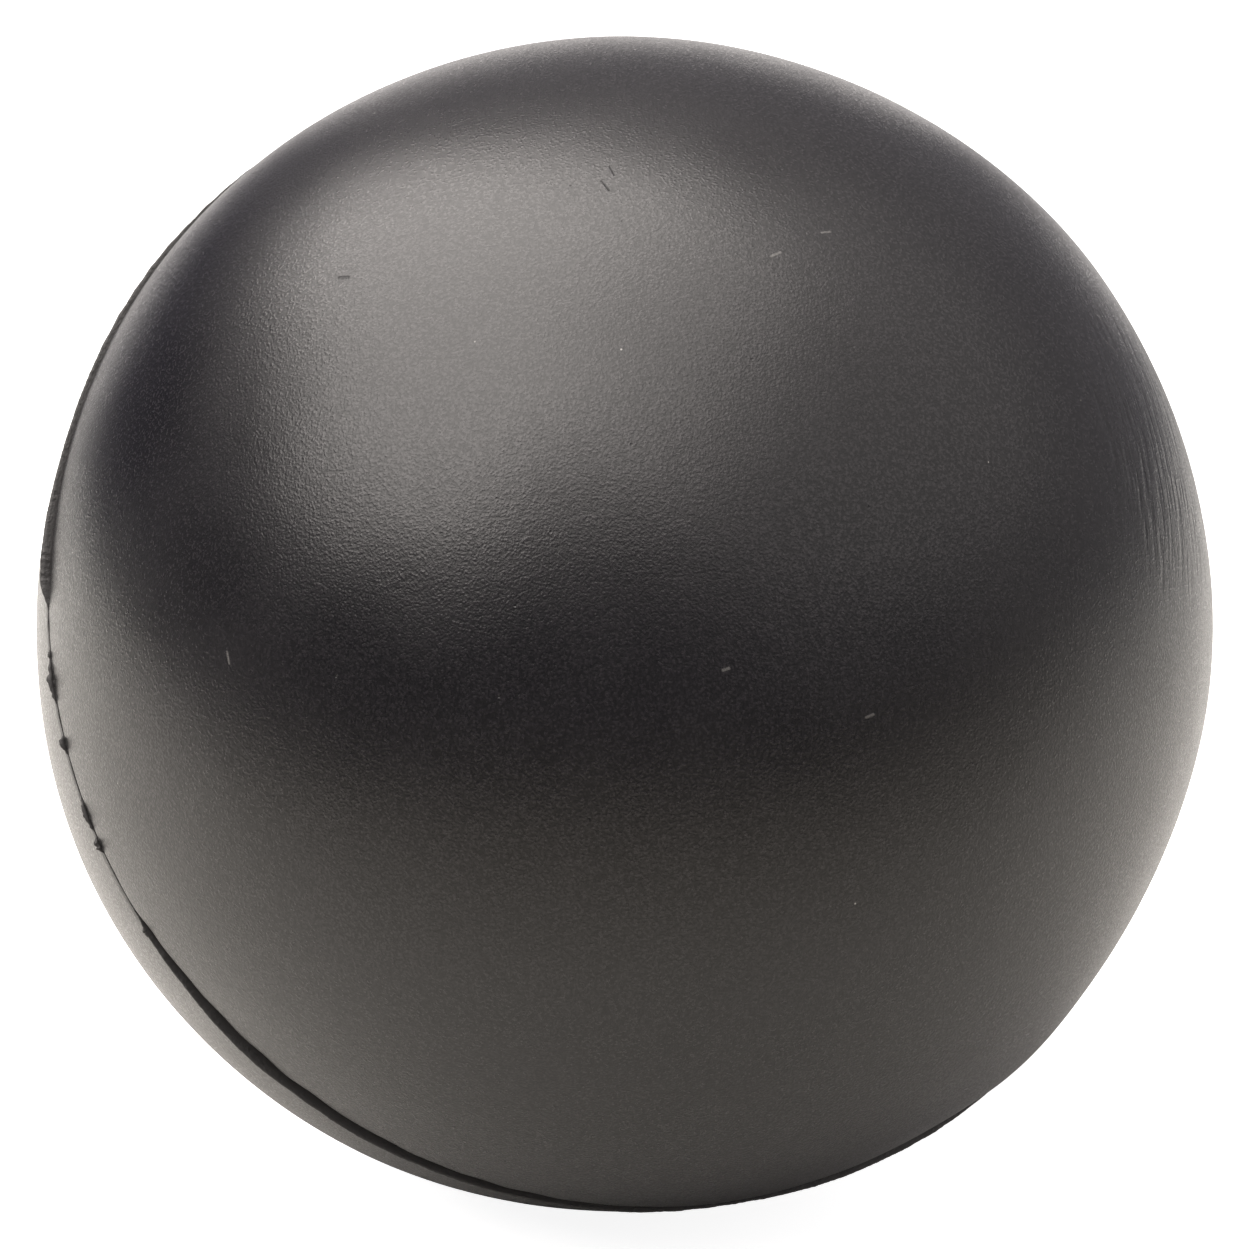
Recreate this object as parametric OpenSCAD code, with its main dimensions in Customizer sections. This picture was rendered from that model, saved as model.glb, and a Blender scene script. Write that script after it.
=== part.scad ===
// Case opening friction ball: a hand-sized ball of soft polyurethane foam with its own tough skin.
// A watchmaker presses it on a screwed watch case back and turns it, and friction undoes the back.
// The ball is one moulding from a two-part mould. Every sub-part is built about the mould axis,
// +Z, with the parting plane at z = 0 and the front half above it. The whole ball is then tipped
// to the way it lies on a bench, with the bench level and the origin at the ball's centre.

/* [Ball] */
// Outer diameter of the ball
ball_d = 65; // [60:0.5:70]
// Thickness of the dense skin round the foam
skin_t = 1.6; // [1:0.1:3]

/* [Parting line] */
// Radius of the rolled edge where the front half turns in to the parting line
front_edge_r = 0.8; // [0.4:0.1:1.2]
// Thickness of the trimmed flash, which lies on the back half's side
flash_t = 0.3; // [0.2:0.05:0.5]
// Height of the trimmed flash above the ball
flash_h = 0.2; // [0.1:0.05:0.4]

/* [Vent nibs] */
// Height of the tallest nib above the flash
nib_h = 0.3; // [0.1:0.05:0.5]

/* [Lie on the bench] */
// Lean of the mould axis from upright
axis_lean = 62.4; // [0:0.1:90]
// Turn of the leaning mould axis about the vertical
axis_turn = -68.6; // [-180:0.1:180]

/* [Hidden] */
$fn = 128;
ball_r = ball_d / 2;
core_r = ball_r - skin_t;
flash_r = ball_r + flash_h;
past = 1;  // how far a cutting shape runs past what it cuts
edge_inset = front_edge_r - 0.02;  // a little under the radius, so the rolled edge crosses both faces it joins
// Where the mould vented: the nib's angle along the parting line, counted from its lowest point,
// then the nib's width and its share of nib_h
NIBS = [
    [63, 0.8, 0.7], [97, 1.4, 0.5], [136, 0.7, 0.9], [171, 1.1, 0.6], [204, 0.8, 0.5],
    [259, 3.6, 0.5], [269.5, 1.8, 0.8], [276, 0.7, 1], [283, 1.7, 0.7], [286, 0.8, 0.8]
];
skin_colour = [0.13, 0.13, 0.13];
flash_colour = [0.1, 0.1, 0.1];
foam_colour = [0.22, 0.22, 0.21];

// From the mould's axes to the way the ball lies
module as_it_lies() {
    rotate([0, axis_lean, axis_turn]) children();
}

// Half section of the skin on one side of the parting plane, from depth to the pole
module skin_section(depth = 0) {
    difference() {
        circle(ball_r);
        circle(core_r);
        translate([-ball_r - past, -ball_r - past]) square([ball_r + past, 2 * (ball_r + past)]);
        translate([0, -ball_r - past]) square([ball_r + past, ball_r + past + depth]);
    }
}

// What the rolled edge leaves off the section's sharp outer corner
module corner_waste() {
    centre = [sqrt(pow(ball_r - edge_inset, 2) - pow(edge_inset, 2)), edge_inset];
    beyond = (ball_r + past) / norm(centre);
    difference() {
        polygon([centre, [centre.x, 0], [centre.x, -past], [ball_r + past, -past], beyond * centre]);
        translate(centre) circle(front_edge_r);
    }
}

// Soft cellular middle of the moulding
module foam_core() {
    color(foam_colour) sphere(core_r);
}

// Skin of the half whose edge is rolled in at the parting line
module skin_front() {
    color(skin_colour) as_it_lies() rotate_extrude() difference() {
        skin_section();
        corner_waste();
    }
}

// Skin of the half that carries the flash, so it starts where the flash ends
module skin_back() {
    color(skin_colour) as_it_lies() mirror([0, 0, 1]) rotate_extrude() skin_section(flash_t);
}

// Thin lip squeezed out between the mould halves and trimmed off a little above the ball
module parting_flash() {
    color(flash_colour) as_it_lies() rotate_extrude() difference() {
        translate([0, -flash_t]) square([flash_r, flash_t]);
        circle(core_r);
    }
}

// Stub of one vent, standing on the flash: width along the parting line and height
module vent_nib(width, height) {
    spread = width / flash_r * 180 / PI;
    rotate(-spread / 2) rotate_extrude(angle = spread)
        translate([flash_r, -flash_t]) square([height, flash_t]);
}

module vent_nibs() {
    color(flash_colour) as_it_lies() for (nib = NIBS)
        rotate(nib[0]) vent_nib(nib[1], nib_h * nib[2]);
}

foam_core();
skin_front();
skin_back();
parting_flash();
vent_nibs();
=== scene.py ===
"""Looks of the case opening friction ball: a soft black polyurethane foam ball with its own tough skin.

The ball is one moulding from a two-part mould. Its surfaces are built as rings round the mould axis, which is
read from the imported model: a fine cap over each half's pole, rows of rings down to the parting line, and the
trimmed lip of flash with its torn vent nibs between the halves. Lengths are in metres and angles along the
parting line are in degrees, counted from its lowest point as in the CAD.
"""

import math

import bpy
import numpy as np
from mathutils import Euler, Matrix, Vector, noise

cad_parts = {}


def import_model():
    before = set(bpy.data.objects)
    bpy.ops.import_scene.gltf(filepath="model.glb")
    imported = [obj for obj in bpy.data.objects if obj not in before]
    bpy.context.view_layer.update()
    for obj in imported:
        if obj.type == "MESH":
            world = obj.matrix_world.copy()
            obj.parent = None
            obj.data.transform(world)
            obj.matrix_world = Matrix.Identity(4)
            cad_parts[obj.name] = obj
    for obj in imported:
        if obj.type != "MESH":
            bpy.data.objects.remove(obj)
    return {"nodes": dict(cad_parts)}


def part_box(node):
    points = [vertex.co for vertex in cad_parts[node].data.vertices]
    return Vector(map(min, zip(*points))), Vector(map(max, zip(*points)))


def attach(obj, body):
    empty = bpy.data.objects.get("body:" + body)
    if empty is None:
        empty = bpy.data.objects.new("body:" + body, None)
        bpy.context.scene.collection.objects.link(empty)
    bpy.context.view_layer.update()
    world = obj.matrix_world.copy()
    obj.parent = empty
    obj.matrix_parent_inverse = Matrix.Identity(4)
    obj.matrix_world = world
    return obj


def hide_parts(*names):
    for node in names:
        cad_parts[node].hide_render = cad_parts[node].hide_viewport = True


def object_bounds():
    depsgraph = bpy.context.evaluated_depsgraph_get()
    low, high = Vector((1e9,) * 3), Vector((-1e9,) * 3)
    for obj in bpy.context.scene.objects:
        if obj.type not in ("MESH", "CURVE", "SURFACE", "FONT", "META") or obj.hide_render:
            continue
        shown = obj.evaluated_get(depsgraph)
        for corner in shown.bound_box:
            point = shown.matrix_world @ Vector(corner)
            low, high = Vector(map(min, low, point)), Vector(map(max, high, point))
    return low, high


MM = 0.001
SEED = 7

# Mesh: a cap of CAP_CELLS by CAP_CELLS quads has 4 * CAP_CELLS edges round its rim
CAP_CELLS = 176
RIM_COLUMNS = 4 * CAP_CELLS
SEAM_SPLIT = 4
SEAM_COLUMNS = RIM_COLUMNS * SEAM_SPLIT

# Parting line
COLLAR_HEIGHT = 2.6 * MM
CORE_GAP = 0.01 * MM
FLASH_THICKNESS = 0.3 * MM
EDGE_GAP = 0.012 * MM
SIDE_RINGS, ROLL_RINGS = 12, 8
BACK_EDGE_RADIUS = 0.1 * MM

# Radius of the front half's rolled edge and height of the lip, by angle along the parting line
ROLLED_EDGE = [
    (0, 0.5), (60, 0.5), (120, 0.7), (180, 0.45), (215, 0.35), (250, 0.3), (261, 0.35), (264, 0.1),
    (292, 0.1), (296, 0.7), (303, 1.1), (335, 1.1), (350, 0.8),
]
LIP_RAGGED = 0.012 * MM
LIP_HEIGHT = [
    (0, 0.14), (13, 0.32), (26, 0.43), (39, 0.5), (46, 0.45), (54, 0.15), (75, 0.1), (120, 0.17), (160, 0.1),
    (207, 0.1), (212, 0.18), (219, 0.19), (225, 0.27), (234, 0.28), (245, 0.26), (250, 0.3), (255, 0.44),
    (260, 0.45), (263.3, 0.03), (293, 0.01), (295.5, 0.14), (302, 0.18), (306, 0.28), (311, 0.34),
    (316, 0.25), (321, 0.27), (330, 0.19), (340, 0.18), (350, 0.22),
]
# Torn stubs on the lip: angle, width and height above the lip in millimetres
NIBS = [
    (63, 0.8, 0.2), (97, 1.4, 0.15), (136, 0.7, 0.27), (171, 1.1, 0.18), (204, 0.8, 0.15), (259, 3.6, 0.05),
    (267.3, 0.7, 0.14), (269.7, 2.9, 0.28), (276.1, 1.2, 0.33), (282.9, 2.2, 0.24), (285.9, 1.1, 0.28),
    (295.2, 0.8, 0.1),
]

# Skin: depth of its grain, and the patch of flow creases near the right side with the way that they run
GRAIN_DEPTH = 0.017 * MM
GRAIN_SIZE, DOME_SIZE = 0.12 * MM, 0.2 * MM
# SKIN_DARK to SKIN_LIGHT: the skin's colour, darker in the grain's hollows as painted shade and varied by
# random cloudy tone
SKIN_DARK = (0.0005, 0.0005, 0.0005, 1)
SKIN_LIGHT = (0.024, 0.0222, 0.0235, 1)
SCAR_COLOUR = (0.001, 0.001, 0.001, 1)
CREASE_CENTRE = (0.9, -0.3, 0.4)
CREASE_HEADING = (0.25, -0.5, -0.85)
CREASE_LENGTH, CREASE_SPACING, CREASE_DEPTH = 4 * MM, 0.55 * MM, 0.036 * MM
CREASE_FADES, CREASE_FULL = 0.955, 0.985
DUST_COLOUR = (0.35, 0.34, 0.32, 1)

# Lint on the skin and short dark scars in it, each a straight run: the turn of its middle about +Z and the
# height of its middle in degrees, its heading in degrees (0 runs round the ball, 90 runs up), and its length
# and half width in millimetres
LINT_STRENGTH, SCAR_STRENGTH, MARK_DEPTH = 0.2, 0.6, 0.04 * MM
LINT = [
    (-69, 49, 20, 0.6, 0.08), (-60, 51, 0, 0.5, 0.07), (-81, 11, 15, 0.3, 0.08), (-68, 6, 15, 0.4, 0.07),
    (-128, 9, 110, 0.6, 0.06), (-17, 35, 130, 1.9, 0.04), (-20, 33, 125, 1.3, 0.04),
]
SCARS = [
    (-92, 60, 110, 0.7, 0.06), (-93, 58, 120, 0.8, 0.06), (-128, 45, 10, 0.5, 0.12),
]

# Soft hollows in the ball, which is never quite round: direction, depth in millimetres, half width in degrees
HOLLOWS = [
    ((0.9, -0.23, -0.38), 0.17, 13), ((-1, -0.12, 0.03), 0.14, 14), ((-0.09, -0.38, -0.93), 0.17, 15),
    ((0.25, 0.13, 0.96), 0.09, 18), ((0.98, -0.08, 0.2), 0.035, 14), ((0.77, 0.05, 0.65), -0.1, 10),
    ((-0.88, 0, 0.48), 0.15, 20), ((0.29, -0.37, -0.88), 0.1, 10), ((0.66, -0.31, -0.68), -0.22, 7),
    ((-0.84, -0.27, -0.47), -0.07, 17), ((-0.26, 0.13, 0.96), 0.05, 22),
    ((0.3, 0.9, 0.2), 0.15, 26), ((-0.5, 0.7, -0.4), 0.12, 24),
]

# Stage: soft lights over the table (name, centre, size, turn in degrees, radiance), two strips of bright
# backdrop behind the ball, and the room's dim wall to the right. The ball sees a sheet of paper that ends a
# hand's width in front of it, and the camera sees a pale floor instead.
SOFTBOXES = [
    ("softbox_back", (-0.2, 0.12, 0.4), (0.55, 0.28), -35, 5.9),
    ("softbox_front", (-0.4, -0.3, 0.4), (0.65, 0.55), 50, 5.5),
    ("softbox_middle", (0.05, -0.25, 0.4), (0.65, 0.2), 80, 3.1),
    ("spill", (0.75, -0.35, 0.4), (1.2, 1.2), 0, 0.6),
]
BACKDROPS = [
    ("backdrop_low", (-0.05, 0.6, 0.015), (0.65, 0.1), 1.3),
    ("backdrop_high", (0, 0.6, 0.115), (0.3, 0.1), 1.6),
]
PAPER_CORNERS = [(-0.8, 0.5), (-0.05, -0.15), (0.8, -0.15), (0.8, 1.2), (-0.8, 1.2)]
PAPER_COLOUR = (0.85, 0.845, 0.805, 1)
# PAPER_SHADE towards the front edge is painted shade, and PAPER_GLOW towards the back is a painted glow
PAPER_SHADE = (0.27, 0.257, 0.23, 1)
PAPER_SHADE_FROM, PAPER_SHADE_TO = -0.11, 0.03
PAPER_GLOW = 0.4
PAPER_GLOW_COLOUR = (1, 1, 0.97, 1)
PAPER_GLOW_FROM, PAPER_GLOW_TO = 0.01, 0.17
FLOOR_COLOUR = (0.8, 0.8, 0.8, 1)
FLOOR_GLOW = 0.9
FLOOR_SIZE = 3.0
LIGHT_COLOUR = (1.05, 0.99, 0.94)
WALL_DIRECTION = (1, 0.4, -0.2)
WALL_EDGE = (-0.1, 0.1)
WALL_RADIANCE = 0.33
ROOM_COLOUR = (0.008, 0.01, 0.05, 1)

# Camera: distance in ball radii, rise in degrees, the ball's share of the frame, and the frame's shift
CAMERA_RADII = 8
CAMERA_RISE = 15
BALL_SHARE = 0.944
FRAME_SHIFT = (0.0013, 0.0003)


def mould_axes(nodes):
    """Rows: towards the parting line's lowest point, along the line from there, and along the front pole."""
    ring = np.array([v.co for v in nodes["parting_flash"].data.vertices])
    pole = np.linalg.svd(ring - ring.mean(0), full_matrices=False)[2][2]
    front = np.mean([v.co for v in nodes["skin_front"].data.vertices], axis=0)
    pole *= math.copysign(1, pole @ front)
    down = np.array([0, 0, -1]) - pole * -pole[2]
    down /= np.linalg.norm(down)
    return np.array([down, np.cross(pole, down), pole])


def along_seam(table, angles):
    """Values in metres, at these angles, of a table of (degrees, millimetres), eased between its rows."""
    knots = np.array(sorted(table), float)
    x = np.r_[knots[:, 0], knots[0, 0] + 360]
    y = np.r_[knots[:, 1], knots[0, 1]]
    at = np.degrees(angles) % 360
    i = np.clip(np.searchsorted(x, at, side="right") - 1, 0, len(x) - 2)
    t = (at - x[i]) / (x[i + 1] - x[i])
    return (y[i] + (y[i + 1] - y[i]) * t * t * (3 - 2 * t)) * MM


def ragged(angles, waves, seed):
    """Periodic roughness round the ring, about 1 at most: a sum of waves with seeded counts and phases."""
    rng = np.random.default_rng(seed)
    total = np.zeros_like(angles)
    for lowest, highest, share in waves:
        for _ in range(6):
            waves_round = rng.integers(lowest, highest)
            total += share / 6 ** 0.5 * np.sin(waves_round * angles + rng.uniform(0, math.tau))
    return total


def out_of_round(points):
    """Moves points in or out along their radius, so the ball isn't quite round."""
    size = np.linalg.norm(points, axis=1)
    way = points / size[:, None]
    move = np.zeros(len(points))
    for direction, depth, width in HOLLOWS:
        centre = np.array(direction) / np.linalg.norm(direction)
        angle = np.degrees(np.arccos(np.clip(way @ centre, -1, 1)))
        move -= depth * MM * np.exp(-((angle / width) ** 2))
    lumps = np.array([noise.noise(Vector(w * 3.1)) + 0.4 * noise.noise(Vector(w * 9)) for w in way])
    move += 0.03 * MM * lumps
    return points + way * move[:, None]


def cap_directions(cells, rim_z):
    """Unit vectors over a polar cap down to height rim_z, from a square grid wrapped evenly onto it."""
    u, v = np.meshgrid(np.linspace(-1, 1, cells + 1), np.linspace(-1, 1, cells + 1), indexing="ij")
    wide = np.abs(u) >= np.abs(v)
    big = np.where(wide, u, v)
    small = np.where(wide, v, u)
    turn = math.pi / 4 * small / np.where(big == 0, 1, big)
    psi = np.where(wide, turn, math.pi / 2 - turn) + np.where(big < 0, math.pi, 0)
    z = 1 - (1 - rim_z) * big ** 2
    flat = np.sqrt(1 - z * z)
    return np.stack([flat * np.cos(psi), flat * np.sin(psi), z], -1).reshape(-1, 3)


def cap_faces(cells, start, up):
    """Quads of the cap's grid, and its rim's vertices in order of angle from -45 degrees."""
    index = start + np.arange((cells + 1) ** 2).reshape(cells + 1, cells + 1)
    quads = np.stack([index[:-1, :-1], index[1:, :-1], index[1:, 1:], index[:-1, 1:]], -1).reshape(-1, 4)
    rim = np.r_[index[-1, :-1], index[::-1, -1][:-1], index[0, ::-1][:-1], index[:-1, 0]]
    return (quads if up else quads[:, ::-1]).tolist(), rim


def stitch(coarse, fine, outward):
    """Faces between a ring and a ring of several times as many vertices, both from the same angle."""
    split = len(fine) // len(coarse)
    faces = []
    for k, corner in enumerate(coarse):
        run = [fine[(k * split + j) % len(fine)] for j in range(split + 1)]
        face = [coarse[(k + 1) % len(coarse)], corner, *run]
        faces.append(face if outward else face[::-1])
    return faces


def bands(rings, outward):
    """Quads between neighbouring rings of equal length."""
    faces = []
    for upper, lower in zip(rings[:-1], rings[1:]):
        quads = np.stack([upper, lower, np.roll(lower, -1), np.roll(upper, -1)], -1)
        faces += (quads if outward else quads[:, ::-1]).tolist()
    return faces


def seam_angles(columns):
    """Even angles once round the parting line, from where the cap's rim starts."""
    return -math.pi / 4 + math.tau * np.arange(columns) / columns


def ring_points(radius, height, angles):
    """Points of a ring round the mould axis. Its radius and height may vary with the angle."""
    radius, height = np.broadcast_to(radius, angles.shape), np.broadcast_to(height, angles.shape)
    return np.stack([radius * np.cos(angles), radius * np.sin(angles), height], -1)


def make_object(name, points, faces, material, replaced):
    """A padded piece that rides on the body and stands for a node of the model."""
    mesh = bpy.data.meshes.new(name)
    mesh.from_pydata(points.tolist(), [], faces)
    mesh.validate()
    mesh.shade_smooth()
    mesh.materials.append(material)
    piece = bpy.data.objects.new(name, mesh)
    bpy.context.scene.collection.objects.link(piece)
    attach(piece, "root")
    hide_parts(replaced)
    return piece


def skin_half(name, axes, ball_r, core_r, edge, foot, front, material, replaced):
    """Closed shell of one half: fine outer cap, rings down to the rolled edge, parting face and inner cap.

    edge is the edge's radius at each seam column, and foot is how far the parting face stands off the
    parting plane.
    """
    angles = seam_angles(SEAM_COLUMNS)
    points, count = [], 0
    faces = []

    def add(block):
        nonlocal count
        points.append(block)
        count += len(block)
        return np.arange(count - len(block), count)

    top = foot + COLLAR_HEIGHT
    grid = add(cap_directions(CAP_CELLS, top / ball_r) * ball_r)
    quads, rim = cap_faces(CAP_CELLS, grid[0], up=True)
    faces += quads
    rings = []
    start = foot + edge
    for t in np.linspace(0.1, 1, SIDE_RINGS):
        height = top + (start - top) * t ** 0.8
        rings.append(add(ring_points(np.sqrt(ball_r ** 2 - height ** 2), height, angles)))
    centre = np.sqrt((ball_r - edge) ** 2 - start ** 2)
    lean = start / (ball_r - edge)
    for turn in np.radians(np.linspace(12, 90, ROLL_RINGS)):
        swing = np.arcsin(lean) * (1 - turn / (math.pi / 2)) - turn
        rings.append(add(ring_points(centre + edge * np.cos(swing), start + edge * np.sin(swing), angles)))
    rings.append(add(ring_points(core_r + 0.3 * MM, foot, angles)))
    faces += stitch(rim, rings[0], outward=True)
    faces += bands(rings, outward=True)
    middle = add(ring_points(core_r + 0.1 * MM, foot, seam_angles(RIM_COLUMNS)))
    faces += stitch(middle, rings[-1], outward=False)
    inner = add(cap_directions(CAP_CELLS // 4, foot / core_r) * core_r)
    quads, rim = cap_faces(CAP_CELLS // 4, inner[0], up=False)
    faces += quads
    faces += stitch(rim, middle, outward=False)
    local = np.concatenate(points)
    if not front:
        local[:, 2] *= -1
        faces = [face[::-1] for face in faces]
    world = out_of_round(local @ axes)
    return make_object(name, world, faces, material, replaced)


def flash_lip(axes, ball_r, core_r, lip, material):
    """The trimmed lip: a closed ring with a cliff towards the front half and a slope into the back half."""
    angles = seam_angles(SEAM_COLUMNS)
    cliff = 0.02 * MM * ragged(angles, [(40, 120, 1), (300, 700, 0.5)], SEED)
    top = ball_r + lip
    slope = [
        (core_r + CORE_GAP, -0.02 * MM),
        (ball_r - 0.6 * MM, cliff * 0.3 - 0.01 * MM),
        (ball_r - 0.2 * MM, cliff * 0.6 - 0.01 * MM),
        (ball_r + lip * 0.5, cliff - 0.02 * MM),
        (top - 0.03 * MM, cliff - 0.02 * MM),
        (top, cliff - 0.06 * MM),
        (top - 0.01 * MM, cliff - 0.11 * MM),
        (ball_r + lip * 0.7, cliff - 0.2 * MM),
        (ball_r + lip * 0.35, -0.34 * MM),
        (ball_r + lip * 0.1, -0.5 * MM),
        (ball_r - 0.03 * MM, -0.7 * MM),
        (ball_r - 0.3 * MM, -0.75 * MM),
        (core_r + 0.3 * MM, -FLASH_THICKNESS),
        (core_r + CORE_GAP, -FLASH_THICKNESS),
    ]
    points, rings = [], []
    for k, (radius, height) in enumerate(slope):
        points.append(ring_points(radius, height, angles))
        rings.append(np.arange(k * SEAM_COLUMNS, (k + 1) * SEAM_COLUMNS))
    faces = bands(rings + rings[:1], outward=True)
    world = out_of_round(np.concatenate(points) @ axes)
    return make_object("flash_lip", world, faces, material, "parting_flash")


def torn_nibs(axes, ball_r, lip_at, material):
    """Cut stubs of the vents, one closed lump each: highest in the middle, with a rough cut top."""
    rng = np.random.default_rng(SEED)
    steps, around = 17, 10
    points, faces = [], []
    for degrees, width, height in NIBS:
        centre, half = math.radians(degrees), width * MM / ball_r / 2
        along = np.linspace(-1, 1, steps)
        skew = rng.uniform(-0.35, 0.35)
        hump = np.clip(1 - np.abs(along + skew * (1 - along ** 2)) ** 1.6, 0.02, 1)
        hump *= 1 + 0.18 * rng.standard_normal(steps)
        angles = centre + along * half
        base = ball_r + lip_at(angles) - 0.05 * MM
        start = len(points) * steps * around
        block = np.zeros((steps, around, 3))
        for j in range(around):
            turn = math.tau * j / around
            lift = 0.5 + 0.5 * math.cos(turn)
            radius = base + (height * MM + 0.05 * MM) * hump * lift
            depth = -0.1 * MM + (0.11 * MM - 0.03 * MM * lift) * math.sin(turn) * np.clip(hump, 0.25, 1)
            block[:, j] = ring_points(radius, depth, angles)
        points.append(block.reshape(-1, 3))
        index = start + np.arange(steps * around).reshape(steps, around)
        for a, b in zip(index[:-1], index[1:]):
            faces += np.stack([a, np.roll(a, -1), np.roll(b, -1), b], -1).tolist()
        faces += [index[0, ::-1].tolist(), index[-1].tolist()]
    world = out_of_round(np.concatenate(points) @ axes)
    return make_object("torn_nibs", world, faces, material, "vent_nibs")


# Materials


class Nodes:
    """A new material's node tree, with short ways to add and join nodes."""

    def __init__(self, name):
        self.material = bpy.data.materials.new(name)
        self.material.use_nodes = True
        self.tree = self.material.node_tree
        self.shader = self.tree.nodes["Principled BSDF"]
        self.place = self.add("ShaderNodeTexCoord").outputs["Object"]

    def add(self, kind, inputs=None, **settings):
        node = self.tree.nodes.new(kind)
        for name, value in settings.items():
            setattr(node, name, value)
        for name, value in (inputs or {}).items():
            self.put(node.inputs[name], value)
        return node

    def put(self, socket, value):
        if isinstance(value, bpy.types.NodeSocket):
            self.tree.links.new(value, socket)
        else:
            socket.default_value = value

    def maths(self, operation, a, b=0.0, clamp=False):
        node = self.add("ShaderNodeMath", operation=operation, use_clamp=clamp)
        self.put(node.inputs[0], a)
        self.put(node.inputs[1], b)
        return node.outputs[0]

    def noise(self, size, detail=2.0, roughness=0.5):
        inputs = {"Vector": self.place, "Scale": 1 / size, "Detail": detail, "Roughness": roughness}
        return self.add("ShaderNodeTexNoise", inputs).outputs["Fac"]

    def cells(self, size):
        inputs = {"Vector": self.place, "Scale": 1 / size}
        return self.add("ShaderNodeTexVoronoi", inputs)

    def span(self, value, low, high, to_low, to_high):
        inputs = {"Value": value, "From Min": low, "From Max": high, "To Min": to_low, "To Max": to_high}
        return self.add("ShaderNodeMapRange", inputs).outputs["Result"]

    def mix_colour(self, factor, a, b):
        node = self.add("ShaderNodeMix", data_type="RGBA")
        self.put(node.inputs[0], factor)
        self.put(node.inputs[6], a)
        self.put(node.inputs[7], b)
        return node.outputs[2]

    def bump(self, height, distance, normal=None):
        inputs = {"Height": height, "Distance": distance, "Strength": 1.0}
        if normal is not None:
            inputs["Normal"] = normal
        return self.add("ShaderNodeBump", inputs).outputs["Normal"]

    def creases(self, centre, heading, ball_r):
        """Long shallow grooves side by side, only in a patch of the ball round one direction."""
        middle = Vector(centre).normalized()
        along = Vector(heading).normalized()
        across = middle.cross(along)
        u = self.dot(self.place, along / CREASE_LENGTH)
        v = self.dot(self.place, across / CREASE_SPACING)
        stretched = self.add("ShaderNodeCombineXYZ", {"X": u, "Y": v}).outputs["Vector"]
        inputs = {"Vector": stretched, "Scale": 1.0, "Detail": 2.0, "Distortion": 0.3}
        ripple = self.add("ShaderNodeTexNoise", inputs).outputs["Fac"]
        patch = self.span(self.dot(self.place, middle / ball_r), CREASE_FADES, CREASE_FULL, 0, 1)
        return self.maths("MULTIPLY", self.span(ripple, 0.3, 0.55, -1, 0), patch)

    def near_runs(self, runs, ball_r):
        """Mask of everything close to any of these straight runs over the ball."""
        nearest = 9.0
        for turn, height, heading, length, half_width in runs:
            placed = Euler((0, -math.radians(height), math.radians(turn)))
            slope = math.radians(heading)
            middle = Vector((ball_r, 0, 0))
            run = Vector((0, math.cos(slope), math.sin(slope))) * length * MM
            middle.rotate(placed)
            run.rotate(placed)
            first = middle - run / 2
            rate = run / run.length_squared
            share = self.maths("SUBTRACT", self.dot(self.place, rate), first.dot(rate), clamp=True)
            on_run = self.add("ShaderNodeVectorMath", operation="MULTIPLY_ADD")
            self.put(on_run.inputs[0], share)
            self.put(on_run.inputs[1], run)
            self.put(on_run.inputs[2], first)
            gap = self.add("ShaderNodeVectorMath", operation="DISTANCE")
            self.put(gap.inputs[0], self.place)
            self.put(gap.inputs[1], on_run.outputs["Vector"])
            widths = self.maths("DIVIDE", gap.outputs["Value"], half_width * MM)
            nearest = self.maths("MINIMUM", widths, nearest)
        return self.span(nearest, 0.5, 1.3, 1, 0)

    def dot(self, value, other):
        node = self.add("ShaderNodeVectorMath", operation="DOT_PRODUCT")
        self.put(node.inputs[0], value)
        self.put(node.inputs[1], other)
        return node.outputs["Value"]

    def finish(self, colour, roughness, normal):
        self.put(self.shader.inputs["Base Color"], colour)
        self.put(self.shader.inputs["Roughness"], roughness)
        self.put(self.shader.inputs["Normal"], normal)
        return self.material


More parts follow.
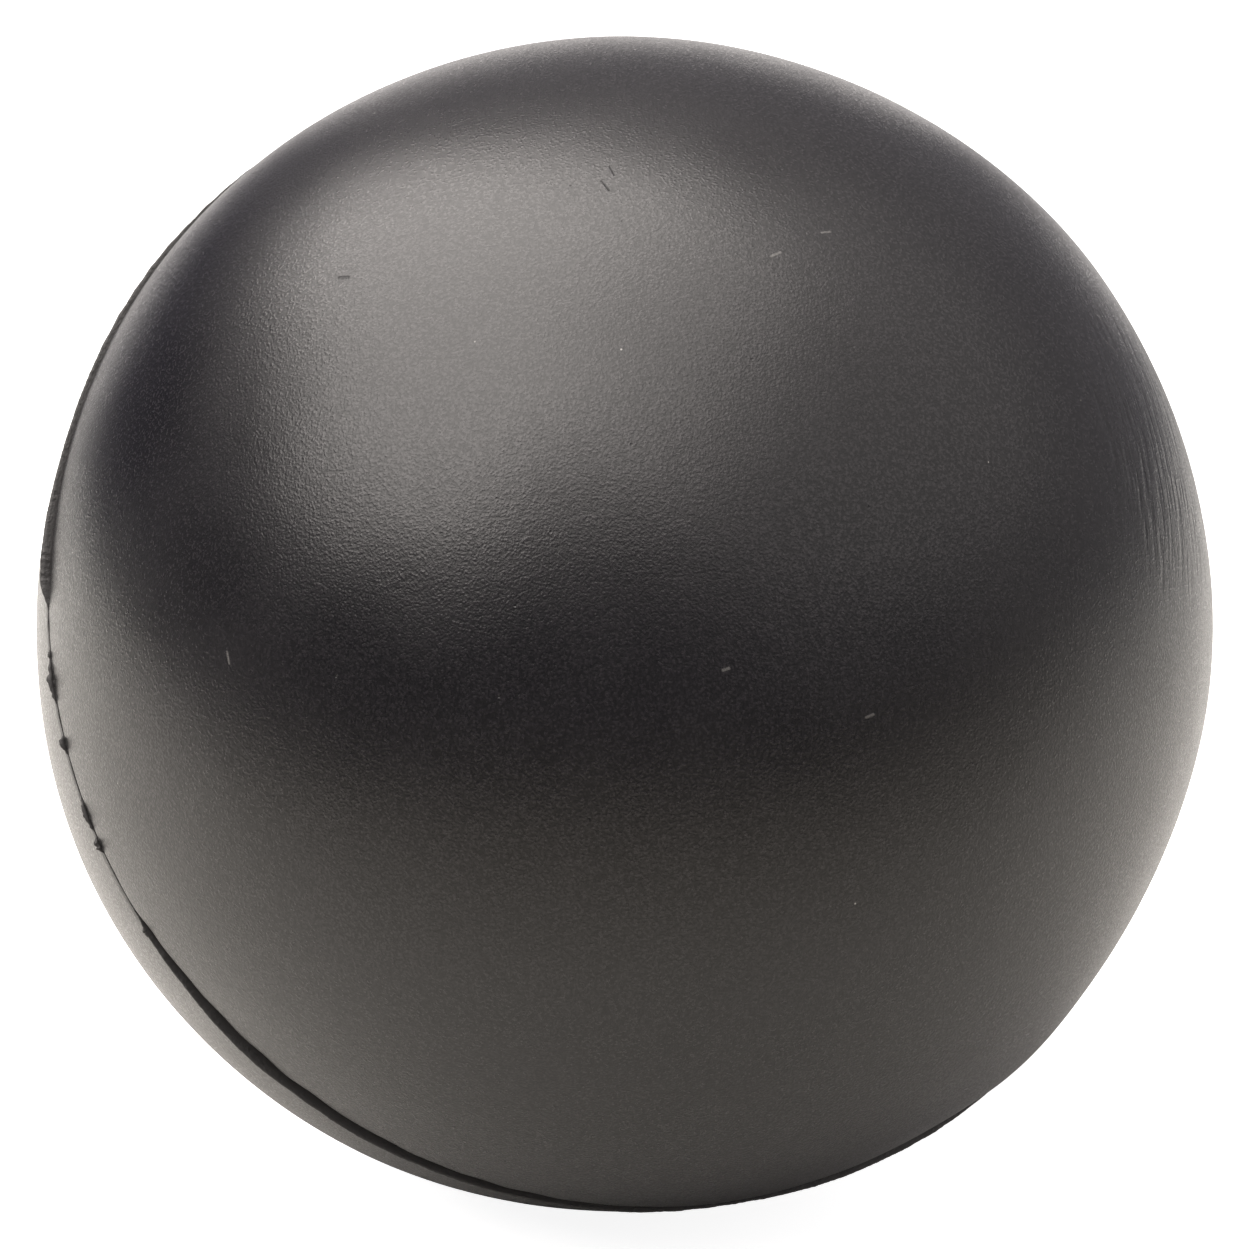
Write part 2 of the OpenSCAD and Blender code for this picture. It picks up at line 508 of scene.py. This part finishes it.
def skin_material(ball_r):
    """Black moulded skin: satin with a fine leathery grain, flow creases, pits, scars, lint and dust, with
    painted shade: the grain's hollows are coloured darker than its tops.
    """
    n = Nodes("moulded_skin")
    clouds = n.noise(9 * MM, 3)
    grain = n.noise(GRAIN_SIZE, 1)
    domes = n.cells(DOME_SIZE).outputs["Distance"]
    waves = n.noise(1.6 * MM, 2)
    pits = n.cells(2.6 * MM).outputs["Distance"]
    pit = n.span(pits, 0.015, 0.035, 1, 0)
    height = n.maths("SUBTRACT", grain, n.maths("MULTIPLY", domes, 0.45))
    height = n.maths("SUBTRACT", height, n.maths("MULTIPLY", pit, 0.9))
    lint = n.maths("MULTIPLY", n.near_runs(LINT, ball_r), LINT_STRENGTH)
    scars = n.maths("MULTIPLY", n.near_runs(SCARS, ball_r), SCAR_STRENGTH)
    flow = n.creases(CREASE_CENTRE, CREASE_HEADING, ball_r)
    normal = n.bump(height, GRAIN_DEPTH)
    normal = n.bump(waves, 0.012 * MM, normal=normal)
    normal = n.bump(flow, CREASE_DEPTH, normal=normal)
    normal = n.bump(n.maths("SUBTRACT", lint, scars), MARK_DEPTH, normal=normal)
    # Painted shade: the colour follows the grain's height, darker in its hollows; the cloudy share is random
    # tone
    low = n.span(height, 0.18, 0.5, 0, 1)
    shade = n.maths("ADD", n.maths("MULTIPLY", low, 0.75), n.maths("MULTIPLY", clouds, 0.25))
    colour = n.mix_colour(shade, SKIN_DARK, SKIN_LIGHT)
    rough = n.maths("SUBTRACT", n.span(clouds, 0.3, 0.7, 0.34, 0.39), n.maths("MULTIPLY", low, 0.11))
    speck = n.span(n.cells(4.5 * MM).outputs["Distance"], 0.008, 0.014, 1, 0)
    dust = n.maths("MAXIMUM", n.maths("MULTIPLY", speck, 0.8), lint)
    scarred = n.mix_colour(scars, colour, SCAR_COLOUR)
    dull = n.maths("ADD", rough, n.maths("MULTIPLY", n.maths("MAXIMUM", lint, scars), 0.4))
    return n.finish(n.mix_colour(dust, scarred, DUST_COLOUR), dull, normal)


def flash_material():
    """Trimmed edge of the moulding: duller and coarser than the skin, with open cells where it tore."""
    n = Nodes("trimmed_flash")
    cells = n.cells(0.12 * MM).outputs["Distance"]
    fine = n.noise(0.25 * MM, 3, 0.6)
    colour = n.mix_colour(fine, (0.014, 0.0135, 0.0135, 1), (0.028, 0.0265, 0.0255, 1))
    rough = n.span(fine, 0.3, 0.7, 0.42, 0.6)
    normal = n.bump(n.maths("ADD", cells, fine), 0.02 * MM)
    return n.finish(colour, rough, normal)


def foam_material():
    """Cellular foam of the core: small open cells of many sizes in dark grey, with painted shade that darkens
    each large cell towards its middle.
    """
    n = Nodes("cellular_foam")
    large = n.cells(0.9 * MM).outputs["Distance"]
    small = n.cells(0.35 * MM).outputs["Distance"]
    height = n.maths("ADD", large, n.maths("MULTIPLY", small, 0.5))
    # Painted shade: each large cell's colour darkens towards its hollow middle
    depth = n.span(large, 0.1, 0.6, 0, 1)
    colour = n.mix_colour(depth, (0.012, 0.012, 0.012, 1), (0.045, 0.045, 0.043, 1))
    rough = n.span(small, 0, 0.7, 0.8, 0.95)
    return n.finish(colour, rough, n.bump(height, 0.25 * MM))


def floor_material():
    """Matt pale tabletop, with a faint unevenness."""
    n = Nodes("pale_floor")
    n.shader.inputs["Specular IOR Level"].default_value = 0.1
    n.shader.inputs["Emission Color"].default_value = (1, 1, 1, 1)
    n.shader.inputs["Emission Strength"].default_value = FLOOR_GLOW
    soft = n.noise(40 * MM, 2)
    return n.finish(n.mix_colour(soft, (0.77, 0.77, 0.77, 1), FLOOR_COLOUR), 0.9, n.bump(soft, 0.05 * MM))


def paper_material():
    """White paper with painted shade towards its front edge and a painted glow towards the back."""
    n = Nodes("paper")
    n.shader.inputs["Specular IOR Level"].default_value = 0.1
    y = n.dot(n.place, (0, 1, 0))
    inputs = {"Value": y, "From Min": PAPER_SHADE_FROM, "From Max": PAPER_SHADE_TO}
    lit = n.add("ShaderNodeMapRange", inputs, interpolation_type="SMOOTHSTEP").outputs["Result"]
    n.shader.inputs["Emission Color"].default_value = PAPER_GLOW_COLOUR
    n.put(n.shader.inputs["Emission Strength"], n.span(y, PAPER_GLOW_FROM, PAPER_GLOW_TO, 0, PAPER_GLOW))
    return n.finish(n.mix_colour(lit, PAPER_SHADE, PAPER_COLOUR), 0.9, n.bump(n.noise(5 * MM), 0.01 * MM))


# Stage


def add_camera(ball_r):
    """The photograph's view: straight at the front, from a little above."""
    distance = CAMERA_RADII * ball_r
    rise = math.radians(CAMERA_RISE)
    back = Vector((0, -math.cos(rise), math.sin(rise)))
    data = bpy.data.cameras.new("camera")
    data.sensor_width = 36
    data.lens = data.sensor_width / 2 * BALL_SHARE / math.tan(math.asin(ball_r / distance))
    data.clip_start, data.clip_end = 0.01, 50
    data.shift_x, data.shift_y = FRAME_SHIFT
    camera = bpy.data.objects.new("camera", data)
    camera.location = back * distance
    camera.rotation_euler = (-back).to_track_quat("-Z", "Y").to_euler()
    bpy.context.scene.collection.objects.link(camera)
    bpy.context.scene.camera = camera


def add_panel(name, place, size, turns, radiance):
    """A flat, even soft light, which faces straight down before its turns in degrees."""
    data = bpy.data.lights.new(name, "AREA")
    data.shape = "RECTANGLE"
    data.size, data.size_y = size
    data.energy = radiance * math.pi * size[0] * size[1]
    data.color = LIGHT_COLOUR
    panel = bpy.data.objects.new(name, data)
    panel.location = place
    panel.rotation_euler = [math.radians(turn) for turn in turns]
    panel.visible_camera = False
    bpy.context.scene.collection.objects.link(panel)


def add_world():
    """White to the camera, and to the ball a dark room with a dim wall to the right and behind."""
    world = bpy.data.worlds.new("studio")
    world.use_nodes = True
    tree = world.node_tree
    shade = tree.nodes["Background"]

    def add(kind, **settings):
        node = tree.nodes.new(kind)
        for name, value in settings.items():
            setattr(node, name, value)
        return node

    way = add("ShaderNodeTexCoord").outputs["Generated"]
    along = add("ShaderNodeVectorMath", operation="DOT_PRODUCT")
    tree.links.new(way, along.inputs[0])
    along.inputs[1].default_value = Vector(WALL_DIRECTION).normalized()
    wall = add("ShaderNodeMapRange", interpolation_type="SMOOTHSTEP")
    tree.links.new(along.outputs["Value"], wall.inputs["Value"])
    for name, value in zip(("From Min", "From Max", "To Min", "To Max"), (*WALL_EDGE, 0, WALL_RADIANCE)):
        wall.inputs[name].default_value = value
    split = add("ShaderNodeSeparateXYZ")
    tree.links.new(way, split.inputs[0])
    above = add("ShaderNodeMath", operation="GREATER_THAN")
    tree.links.new(split.outputs["Z"], above.inputs[0])
    above.inputs[1].default_value = 0
    lit = add("ShaderNodeMath", operation="MULTIPLY")
    tree.links.new(wall.outputs["Result"], lit.inputs[0])
    tree.links.new(above.outputs[0], lit.inputs[1])
    rays = add("ShaderNodeLightPath")
    pick = add("ShaderNodeMix", data_type="FLOAT")
    tree.links.new(rays.outputs["Is Camera Ray"], pick.inputs[0])
    tree.links.new(lit.outputs[0], pick.inputs[2])
    pick.inputs[3].default_value = 1
    tree.links.new(pick.outputs[0], shade.inputs["Strength"])
    shade.inputs["Color"].default_value = (*LIGHT_COLOUR, 1)
    room = add("ShaderNodeBackground")
    room.inputs["Color"].default_value = ROOM_COLOUR
    both = add("ShaderNodeAddShader")
    tree.links.new(shade.outputs[0], both.inputs[0])
    tree.links.new(room.outputs[0], both.inputs[1])
    tree.links.new(both.outputs[0], tree.nodes["World Output"].inputs["Surface"])
    bpy.context.scene.world = world


def add_ground(name, corners, height, material):
    """A flat level sheet of the stage with these corners."""
    mesh = bpy.data.meshes.new(name)
    mesh.from_pydata([(x, y, height) for x, y in corners], [], [range(len(corners))])
    mesh.materials.append(material)
    ground = bpy.data.objects.new(name, mesh)
    bpy.context.scene.collection.objects.link(ground)
    return ground


def add_stage(ball_r):
    """Floor, paper, lights and room."""
    edge = FLOOR_SIZE / 2
    floor_corners = [(-edge, -edge), (edge, -edge), (edge, edge), (-edge, edge)]
    floor = add_ground("floor", floor_corners, -ball_r, floor_material())
    floor.visible_diffuse = floor.visible_glossy = floor.visible_shadow = False
    paper = add_ground("paper", PAPER_CORNERS, -ball_r - 0.1 * MM, paper_material())
    paper.visible_camera = False
    for name, place, size, turn, radiance in SOFTBOXES:
        add_panel(name, place, size, (0, 0, turn), radiance)
    for name, place, size, radiance in BACKDROPS:
        add_panel(name, place, size, (-90, 0, 0), radiance)
    add_world()
    bpy.context.scene.view_settings.view_transform = "Standard"


def main():
    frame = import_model()
    cad_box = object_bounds()
    nodes = frame["nodes"]
    ball_r = max(cad_box[1] - cad_box[0]) / 2
    core_low, core_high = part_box("foam_core")
    core_r = max(core_high - core_low) / 2
    add_camera(ball_r)
    axes = mould_axes(nodes)
    angles = seam_angles(SEAM_COLUMNS)
    skin, flash = skin_material(ball_r), flash_material()
    rolled = along_seam(ROLLED_EDGE, angles) * (1 + 0.08 * ragged(angles, [(20, 90, 1)], SEED + 1))
    sharp = np.full(SEAM_COLUMNS, BACK_EDGE_RADIUS)
    torn = ragged(angles, [(30, 140, 1), (200, 600, 0.5)], SEED + 2)
    lip = along_seam(LIP_HEIGHT, angles) + LIP_RAGGED * torn
    shell_r = core_r + CORE_GAP
    skin_half("moulded_skin_front", axes, ball_r, shell_r, rolled, EDGE_GAP, True, skin, "skin_front")
    skin_half("moulded_skin_back", axes, ball_r, shell_r, sharp, FLASH_THICKNESS, False, skin, "skin_back")
    flash_lip(axes, ball_r, core_r, lip, flash)
    torn_nibs(axes, ball_r, lambda a: along_seam(LIP_HEIGHT, a), flash)
    core = nodes["foam_core"].data
    core.materials.clear()
    core.materials.append(foam_material())
    add_stage(ball_r)


main()
